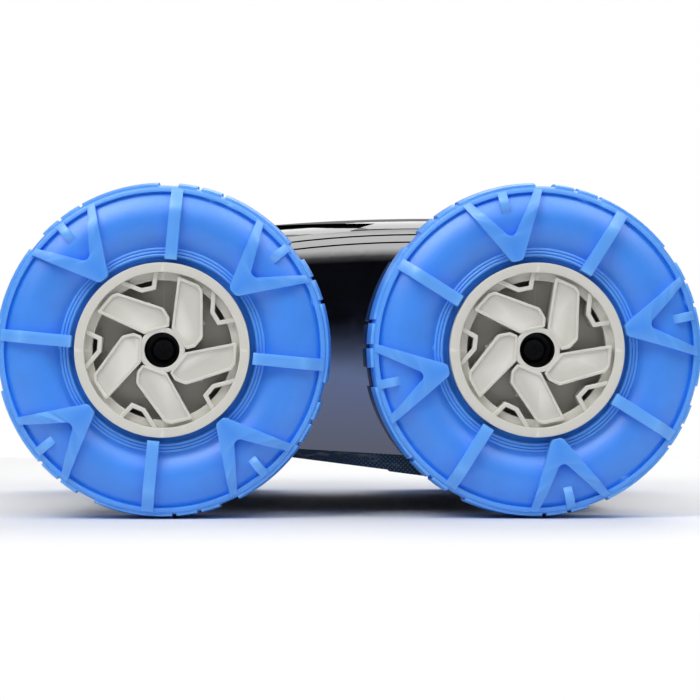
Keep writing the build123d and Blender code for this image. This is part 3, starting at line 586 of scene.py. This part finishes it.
def add_prism(bm, outline, low, high, turn):
    """A solid block with a side-view outline."""
    bottom = ring_of(bm, outline, low, turn)
    top = ring_of(bm, outline, high, turn)
    bridge(bm, bottom, top)
    bm.faces.new(bottom)
    bm.faces.new(list(reversed(top)))


def add_pocketed_prism(bm, outline, pocket, low, high, depth, turn):
    """A block with a shallow pocket sunk into its face."""
    bottom = ring_of(bm, outline, low, turn)
    top = ring_of(bm, outline, high, turn)
    lip = ring_of(bm, pocket, high, turn)
    sunk = ring_of(bm, pocket, high - depth, turn)
    bridge(bm, bottom, top)
    bridge(bm, top, lip)
    bridge(bm, lip, sunk)
    bm.faces.new(bottom)
    bm.faces.new(list(reversed(sunk)))


def thick_line(points, half_width):
    """Closed outline of an open side-view line given a thickness."""
    lefts, rights = [], []
    for index, current in enumerate(points):
        here = Vector(current)
        before = Vector(points[max(0, index - 1)])
        after = Vector(points[min(len(points) - 1, index + 1)])
        along_in = (here - before).normalized() if index else (after - here).normalized()
        along_out = (after - here).normalized() if index < len(points) - 1 else along_in
        normal = Vector((-(along_in.y + along_out.y), along_in.x + along_out.x)).normalized()
        stretch = half_width / max(0.35, normal.dot(Vector((-along_in.y, along_in.x))))
        lefts.append(tuple(here + normal * stretch))
        rights.append(tuple(here - normal * stretch))
    return lefts + list(reversed(rights))


def hub_mesh():
    """One hub about the Y axis with its outer face towards -Y, in metres."""
    bm = bmesh.new()
    ring = [
        (HUB_RADIUS, HUB_BACK), (HUB_RADIUS, HUB_FRONT),
        (HUB_RING_INNER, HUB_FRONT), (HUB_RING_INNER, HUB_BACK),
    ]
    add_revolved(bm, ring, 192)
    ledge_back = HUB_LEDGE_FACE - 5
    sunk_edge = HUB_RING_INNER + OVERLAP
    ledge = [
        (sunk_edge, ledge_back), (sunk_edge, HUB_LEDGE_FACE),
        (HUB_LEDGE_INNER, HUB_LEDGE_FACE), (HUB_LEDGE_INNER, ledge_back),
    ]
    add_revolved(bm, ledge, 192)
    disc_back, disc_front = HUB_DISC
    disc = [(sunk_edge, disc_back), (sunk_edge, disc_front), (10, disc_front), (10, disc_back)]
    add_revolved(bm, disc, 192)
    add_revolved(bm, list(HUB_BOSS_PROFILE), 96)
    low = disc_front - OVERLAP
    vane = rounded(VANE_OUTLINE, VANE_ROUNDING)
    pocket = rounded(VANE_POCKET_OUTLINE, [radius * 0.7 for radius in VANE_ROUNDING])
    wall = thick_line([polar(39.4, 22.5), polar(31.5, 25.6), polar(31.5, 36.9), polar(39.4, 49)], 1.1)
    rib = thick_line([polar(10 + 21 * step / 10, 88 + 52 * step / 10) for step in range(11)], 1.3)
    tab = [polar(22.6, 104), polar(22.6, 112), polar(25.4, 112), polar(25.4, 104)]
    for index in range(VANE_COUNT):
        turn = index * 360 / VANE_COUNT
        add_pocketed_prism(bm, vane, pocket, low, VANE_FACE, VANE_POCKET, turn)
        add_prism(bm, wall, low, VANE_FACE - 1.0, turn)
        add_prism(bm, rib, low, disc_front + RIB_RISE, turn)
        add_prism(bm, tab, low, disc_front + TAB_RISE, turn)
    bmesh.ops.recalc_face_normals(bm, faces=bm.faces)
    bmesh.ops.scale(bm, vec=(MM, MM, MM), verts=bm.verts)
    mesh = bpy.data.meshes.new("hub")
    bm.to_mesh(mesh)
    bm.free()
    return mesh


def make_hubs():
    """Four moulded hubs in place of the plain CAD ones."""
    pattern = bpy.data.objects.new("hub_pattern", hub_mesh())
    bpy.context.scene.collection.objects.link(pattern)
    bevelled(pattern, 0.4, 3)
    pattern.data.materials.append(MATERIALS["hub_plastic"])
    # The second slot is near-black painted shade, which the loop below gives to the bore faces behind the
    # bore's front.
    pattern.data.materials.append(MATERIALS["painted_bore_shade"])
    for polygon in pattern.data.polygons:
        across = math.hypot(polygon.center.x, polygon.center.z)
        if across < BORE_RADIUS * MM and polygon.center.y > -BORE_SHADE_FRONT * MM:
            polygon.material_index = 1
    for corner, turn in HUB_TURN.items():
        mesh = pattern.data.copy()
        mesh.transform(wheel_place(corner, turn))
        hub = bpy.data.objects.new(f"moulded_hub_{corner}", mesh)
        bpy.context.scene.collection.objects.link(hub)
        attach(hub, f"wheel_{corner}")
        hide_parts(f"wheel_hub_{corner}")
    bpy.data.objects.remove(pattern)


make_hubs()


# ---------------------------------------------------------------- stage, light and camera
FLOOR_SIZE = 1.4


def floor_sheet(name, size):
    """A square sheet facing up at height 0, centred under the object."""
    mesh = bpy.data.meshes.new(name)
    half = size / 2
    corners = [(-half, -half, 0), (half, -half, 0), (half, half, 0), (-half, half, 0)]
    mesh.from_pydata(corners, [], [(0, 1, 2, 3)])
    obj = bpy.data.objects.new(name, mesh)
    bpy.context.scene.collection.objects.link(obj)
    return obj


def floor_material():
    surface = Surface("floor_paper", (0.85, 0.85, 0.85, 1), 0.6)
    surface.colour(surface.mix(surface.noise(3, 2), (0.84, 0.84, 0.84, 1), (0.86, 0.86, 0.86, 1)))
    surface.bump(surface.noise(1200, 2), 0.02, 0.3)
    return surface.material


floor = floor_sheet("floor", FLOOR_SIZE)
floor.data.materials.append(floor_material())


def area_light(name, place, target, width, height, power):
    """A soft rectangular light aimed at a point."""
    data = bpy.data.lights.new(name, "AREA")
    data.shape = "RECTANGLE"
    data.size = width
    data.size_y = height
    data.energy = power
    light = bpy.data.objects.new(name, data)
    light.location = place
    light.rotation_euler = (Vector(target) - Vector(place)).to_track_quat("-Z", "Y").to_euler()
    bpy.context.scene.collection.objects.link(light)


area_light("key_softbox", (-0.7, -1.0, 1.3), (0, -0.1, 0.08), 0.9, 0.9, 13)
area_light("fill_softbox", (0.7, -0.9, 1.4), (0, -0.1, 0.08), 0.8, 0.8, 6)
area_light("back_softbox", (0.3, 0.9, 1.2), (0, 0, 0.08), 1.2, 1.2, 10)


def studio_world():
    """White to the eye, soft on matt surfaces, and a pale floor under a dark room in gloss surfaces."""
    world = bpy.data.worlds.new("studio")
    world.use_nodes = True
    tree = world.node_tree
    tree.nodes.clear()
    direction = tree.nodes.new("ShaderNodeTexCoord")
    split = tree.nodes.new("ShaderNodeSeparateXYZ")
    tree.links.new(direction.outputs["Generated"], split.inputs["Vector"])
    height = tree.nodes.new("ShaderNodeMapRange")
    height.inputs["From Min"].default_value = -1
    tree.links.new(split.outputs["Z"], height.inputs["Value"])

    def sky(stops, strength=1.0):
        """A sky whose brightness follows the upward part of the direction, from -1 to 1."""
        ramp = tree.nodes.new("ShaderNodeValToRGB")
        tree.links.new(height.outputs["Result"], ramp.inputs["Fac"])
        while len(ramp.color_ramp.elements) < len(stops):
            ramp.color_ramp.elements.new(0.5)
        for element, (upward, colour) in zip(ramp.color_ramp.elements, stops):
            element.position = (upward + 1) / 2
            element.color = (*colour, 1)
        background = tree.nodes.new("ShaderNodeBackground")
        background.inputs["Strength"].default_value = strength
        tree.links.new(ramp.outputs["Color"], background.inputs["Color"])
        return background.outputs["Background"]

    def choose(share, otherwise, chosen):
        mix = tree.nodes.new("ShaderNodeMixShader")
        tree.links.new(share, mix.inputs["Fac"])
        tree.links.new(otherwise, mix.inputs[1])
        tree.links.new(chosen, mix.inputs[2])
        return mix.outputs["Shader"]

    path = tree.nodes.new("ShaderNodeLightPath")
    matt = sky(((-1, (0.08, 0.08, 0.09)), (0, (0.22, 0.22, 0.22)), (1, (0.6, 0.6, 0.6))))
    room = sky((
        (-1, (0.3, 0.31, 0.33)), (-0.045, (0.175, 0.19, 0.25)), (-0.029, (0.21, 0.23, 0.33)),
        (-0.016, (0.21, 0.26, 0.46)), (-0.003, (0.24, 0.32, 0.59)), (0.001, (0.002, 0.002, 0.003)),
        (0.14, (0.003, 0.003, 0.004)), (0.32, (0.12, 0.12, 0.12)), (0.62, (0.9, 0.9, 0.9)), (1, (1, 1, 1)),
    ), strength=3.2)
    behind = sky(((-1, (0.8, 0.8, 0.8)), (0, (0.22, 0.22, 0.23)), (0.3, (0.3, 0.3, 0.3)), (1, (1, 1, 1))))
    backwards = tree.nodes.new("ShaderNodeMapRange")
    backwards.inputs["From Max"].default_value = 0.4
    tree.links.new(split.outputs["Y"], backwards.inputs["Value"])
    gloss = choose(backwards.outputs["Result"], room, behind)
    seen = sky(((-1, (1, 1, 1)), (1, (1, 1, 1))))
    output = tree.nodes.new("ShaderNodeOutputWorld")
    lit = choose(path.outputs["Is Glossy Ray"], matt, gloss)
    tree.links.new(choose(path.outputs["Is Camera Ray"], lit, seen), output.inputs["Surface"])
    bpy.context.scene.world = world


studio_world()
bpy.context.scene.view_settings.view_transform = "Standard"

CAMERA_X = -0.034
CAMERA_DISTANCE = 1.5
HUB_FACE_Y = -0.172
VIEW_WIDTH = 0.350
SENSOR = 36.0
camera_data = bpy.data.cameras.new("camera")
camera_data.sensor_width = SENSOR
camera_data.lens = SENSOR * CAMERA_DISTANCE / VIEW_WIDTH
camera = bpy.data.objects.new("camera", camera_data)
camera.location = (CAMERA_X, HUB_FACE_Y - CAMERA_DISTANCE, AXLE_HEIGHT)
aim = Vector((0.0, HUB_FACE_Y, AXLE_HEIGHT))
camera.rotation_euler = (aim - camera.location).to_track_quat("-Z", "Y").to_euler()
bpy.context.scene.collection.objects.link(camera)
bpy.context.scene.camera = camera
